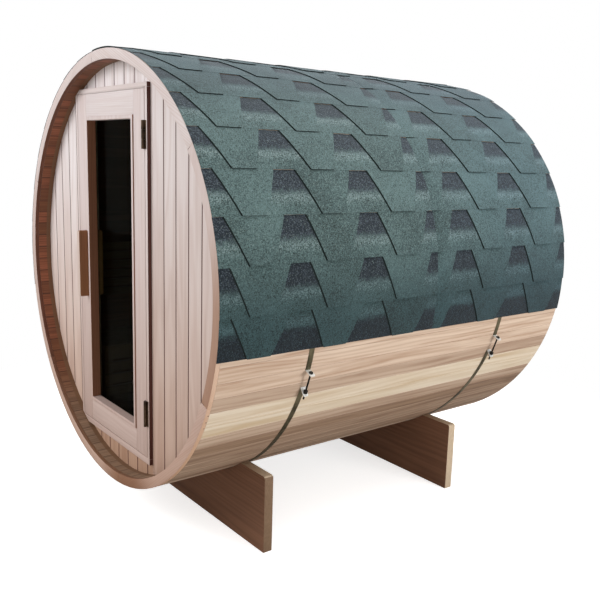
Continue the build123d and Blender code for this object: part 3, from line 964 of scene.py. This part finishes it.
def makeRoofSide(side, name, node):
    luck = random.Random(roof["seed"] + side)
    length = barrel["rear"] - barrel["front"]
    top = roof["butt"] - roof["sheet"]
    bm = bmesh.new()
    bandLayer = bm.verts.layers.float.new("band")
    toneLayer = bm.verts.layers.float.new("tone")
    for number in range(roof["courses"]):
        a0, a1 = courseAngle(number), courseAngle(number + 1)
        verts = roofSlab(bm, (0.0, length, 0.0, length), a0, a1, top, roof["fall"], roof["base"], 40)
        for v in verts:
            share = (v.co.y - a0) / (a1 - a0)
            v[bandLayer] = share if number else 1.10 - share
            v[toneLayer] = 0.5
        bendOnRoof(verts, side, ripple)
        for span in toothSpans():
            corners = [c + luck.uniform(-roof["cutting"], roof["cutting"]) for c in span]
            verts = roofSlab(bm, corners, a0 - roof["lap"][0], a1 + roof["lap"][1], roof["butt"],
                             roof["fall"], roof["sheet"] + roof["sink"], 5)
            tone = luck.random()
            curl = luck.uniform(0.0, roof["curl"])
            for v in verts:
                v[bandLayer] = 0.0
                v[toneLayer] = tone
            flush = abs(span[0] - roof["seam"]) < 0.001

            def settle(y, angle):
                lap = roof["sheet"] * max(0.0, 1.0 - (y - corners[0]) / roof["seamBlend"]) if flush else 0.0
                return ripple(y, angle) + curl * (a1 - angle) / (a1 - a0) - lap

            bendOnRoof(verts, side, settle)
            if flush:
                continue
            # painted shadow: a thin dark strip laid on the sheet beside the tooth
            strip = [c + shift for c in corners[::2] for shift in (-roof["shadowStrip"], roof["shadowStripLap"])]
            verts = roofSlab(bm, strip, a0 + roof["shadowStripShort"], a1, top + roof["shadowStripRise"], roof["fall"],
                             roof["shadowStripLap"], 1)
            for v in verts:
                v[bandLayer] = 2.0
            bendOnRoof(verts, side, ripple)
    bmesh.ops.recalc_face_normals(bm, faces=bm.faces)
    for face in bm.faces:
        middle = face.calc_center_median()
        outward = Vector((middle.x, 0.0, middle.z - barrel["axisHeight"])).normalized()
        along = middle.y - barrel["front"]
        atSeam = abs(along - roof["seam"]) < 0.006 or along < 0.004
        isFelt = face.normal.dot(outward) > 0.6 or (atSeam and abs(face.normal.y) > 0.7)
        level = sum(v[bandLayer] for v in face.verts) / len(face.verts)
        # the strips beside the teeth take the dark edge colour as painted shadow
        face.material_index = 0 if isFelt and level < 1.5 else 1
    finishPiece(bm, name, ("shingle", "shingleEdgeAndShadow"), replaces=(node,), smooth=30.0)


makeRoofSide(1, "shinglesRight", "shingles_right")
makeRoofSide(-1, "shinglesLeft", "shingles_left")

ridge = {"strips": 7, "thickness": 0.010, "below": 0.0005, "lap": 0.0030, "droop": 0.0022}


def makeRidge():
    # strips of felt folded over the top, each lapped over the one behind
    low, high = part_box("shingle_ridge")
    length = high.y - low.y
    half = math.degrees(high.x / barrel["radius"])
    top = high.z - barrel["axisHeight"] - barrel["radius"] - ridge["below"]
    bm = bmesh.new()
    toneLayer = bm.verts.layers.float.new("tone")
    luck = random.Random(roof["seed"])
    for number in range(ridge["strips"]):
        start, end = (length * count / ridge["strips"] for count in (number, number + 1))
        lap = ridge["lap"] if number < ridge["strips"] - 1 else 0.0
        verts = roofSlab(bm, (start, end, start, end), 90 - half, 90 + half, top, 0.0,
                         ridge["thickness"], 3, 12)
        tone = luck.random()
        for v in verts:
            v[toneLayer] = tone

        def settle(y, angle):
            return -lap * (y - start) / (end - start) - ridge["droop"] * (abs(angle - 90) / half) ** 4

        bendOnRoof(verts, 1, settle)
    bmesh.ops.recalc_face_normals(bm, faces=bm.faces)
    for face in bm.faces:
        face.material_index = int(face.normal.z < 0.6)
    finishPiece(bm, "ridgeCap", ("shingle", "shingleEdgeAndShadow"), replaces=("shingle_ridge",),
                smooth=30.0)


makeRidge()
print("stage: roof")


# Straps with their bent ends and bolts
strap = {
    "nodes": (("strap_front", "strapFront"), ("strap_rear", "strapRear")),
    "gap": 0.0004,
    "thickness": 0.0015,
    "ease": 0.0003,
    "steps": 120,
    "upper": (-17.4, 8.0),       # angle of the bent end's root, and how far it leans down
    "lower": (-22.3, 35.0),
    "reach": 0.036,
    "plate": 0.003,
    "corner": 0.006,
    "boltReach": 0.020,
    "boltRadius": 0.0035,
    "overhang": 0.026,
    # radius, length, and how far it starts from the bent end
    "head": (0.0085, 0.006, 0.0015),
    "nut": (0.0085, 0.013, 0.001),
    "lockNut": (0.0085, 0.006, -0.010),
    "nutEase": 0.0008,
}


def addRod(bm, radius, low, high, place, sides=16, ease=0.0):
    made = bmesh.ops.create_cone(bm, cap_ends=True, segments=sides, radius1=radius, radius2=radius,
                                 depth=high - low)["verts"]
    if ease:
        rims = [e for e in edgesOf(made) if abs(e.verts[0].co.z - e.verts[1].co.z) < 1e-6]
        made = bevelEdges(bm, rims, ease) + [v for v in made if v.is_valid]
    place = place @ Matrix.Translation((0, 0, (low + high) / 2))
    bmesh.ops.transform(bm, matrix=place, verts=list(set(made)))


def makeStrap(node, name):
    low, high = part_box(node)
    middle, half = (low.y + high.y) / 2, (high.y - low.y) / 2
    inside = barrel["radius"] + strap["gap"]
    outside = inside + strap["thickness"]
    bm = bmesh.new()
    bentBar(bm, inside, outside, low.y, high.y, strap["upper"][0],
            360.0 + strap["lower"][0] - strap["upper"][0], strap["steps"])
    softEdges(bm, strap["ease"], 1)
    for angle, lean in (strap["upper"], strap["lower"]):
        made = addBox(bm, (-0.001, -half, -strap["plate"] / 2), (strap["reach"], half, strap["plate"] / 2))
        tips = [e for e in edgesOf(made) if min(v.co.x for v in e.verts) > 0.01
                and abs(e.verts[0].co.z - e.verts[1].co.z) > 1e-4]
        made = set(bevelEdges(bm, tips, strap["corner"], 3)) | {v for v in made if v.is_valid}
        leaning = Matrix.Rotation(math.radians(lean), 4, "Y")
        bmesh.ops.transform(bm, matrix=spotOnBarrel(angle, outside, middle) @ leaning, verts=list(made))
    # painted highlight: the bent ends take a near-white copy of the steel
    for face in bm.faces:
        spot = face.calc_center_median()
        out = math.hypot(spot.x, spot.z - barrel["axisHeight"])
        face.material_index = int(out > barrel["radius"] + 0.003)
    finishPiece(bm, name, ("steel", "steelHighlight"), replaces=(node,))
    makeBolt(name + "Bolt", inside + strap["boltReach"], middle)


def makeBolt(name, far, y):
    # the bolt that draws the two bent ends together
    (upper, upperLean), (lower, lowerLean) = strap["upper"], strap["lower"]
    half = barrel["radius"] * math.radians(upper - lower) / 2
    top = half - strap["boltReach"] * math.tan(math.radians(upperLean))
    bottom = -half - strap["boltReach"] * math.tan(math.radians(lowerLean))
    place = spotOnBarrel((upper + lower) / 2, far, y)
    bm = bmesh.new()
    addRod(bm, strap["boltRadius"], bottom - strap["overhang"], top, place)
    for part, level in (("head", top), ("nut", bottom), ("lockNut", bottom)):
        radius, length, gap = strap[part]
        addRod(bm, radius, level + gap, level + gap + length, place, 6, strap["nutEase"])
    finishPiece(bm, name, "blackBolt")


for node, name in strap["nodes"]:
    makeStrap(node, name)


# Cradles, each with a look for its face, its ends and its top: shaded and lit copies of the wood, painted
# light and shade
cradles = {
    "ease": 0.002,
    "nodes": (("cradle_front", "cradleFront", ("cradleFaceShade", "cradleEndLit", "cradleLit")),
              ("cradle_rear", "cradleRear", ("cradleBackFaceShade", "cradleLit", "cradleLit"))),
}
for node, name, looks in cradles["nodes"]:
    easedNode(node, name, looks, cradles["ease"],
              marked=lambda face: 2 if face.normal.z > 0.6 else abs(face.normal.x) > 0.7)
print("stage: straps and cradles")


# Floor, world and lamps
studio = {
    "floorColor": "F4F4F4",
    "floorBounce": "B0AAA2",
    "floorRadius": 12.0,
    "floorGlow": 0.68,
    "floorFade": (1.2, 2.6),     # where the floor turns to plain white
    "sky": 0.42,
    "aim": (0, 0, 0.9),
    # name, place, power and size
    "lamps": (
        ("topLamp", (1.2, 1.0, 5.6), 215.0, 3.6),
        ("doorLamp", (-1.4, -4.6, 3.0), 130.0, 2.6),
        ("sideLamp", (5.4, 1.6, 1.3), 150.0, 2.0),
        ("lowLamp", (3.6, -3.2, 0.7), 22.0, 1.2),
    ),
}


def makeFloor():
    bm = bmesh.new()
    bmesh.ops.create_circle(bm, cap_ends=True, segments=64, radius=studio["floorRadius"])
    floor = meshObject(bm, "floor")
    material, tree, shader = startMaterial("floorWhite", specular=0.0)
    seen = tree.nodes.new("ShaderNodeLightPath").outputs["Is Camera Ray"]
    color = mixColor(tree, seen, studio["floorBounce"], studio["floorColor"])
    plug(tree, color, shader.inputs["Base Color"])
    plug(tree, 0.9, shader.inputs["Roughness"])
    plug(tree, "FFFFFF", shader.inputs["Emission Color"])
    plug(tree, times(tree, seen, studio["floorGlow"]), shader.inputs["Emission Strength"])
    glow = tree.nodes.new("ShaderNodeEmission")
    plug(tree, "FFFFFF", glow.inputs[0])
    x, y, z = split(tree, objectPlace(tree))
    outer = spread(tree, distance(tree, x, y), *studio["floorFade"])
    mixShaders(tree, times(tree, outer, seen), shader, glow)
    floor.data.materials.append(material)


def makeWorld():
    world = bpy.data.worlds.new("studio")
    bpy.context.scene.world = world
    world.use_nodes = True
    tree = world.node_tree
    back = tree.nodes["Background"]
    plug(tree, "FFFFFF", back.inputs[0])
    path = tree.nodes.new("ShaderNodeLightPath")
    seen = calc(tree, "MAXIMUM", path.outputs["Is Camera Ray"], path.outputs["Is Transmission Ray"])
    plug(tree, add(tree, times(tree, seen, 1.0 - studio["sky"]), studio["sky"]), back.inputs[1])


def makeLamps():
    for name, place, power, size in studio["lamps"]:
        data = bpy.data.lights.new(name, "AREA")
        data.energy = power
        data.size = size
        lamp = bpy.data.objects.new(name, data)
        lamp.location = place
        lamp.rotation_euler = (Vector(studio["aim"]) - Vector(place)).to_track_quat("-Z", "Y").to_euler()
        bpy.context.scene.collection.objects.link(lamp)


makeFloor()
makeWorld()
makeLamps()
bpy.context.scene.view_settings.view_transform = "Standard"
print("stage: studio")
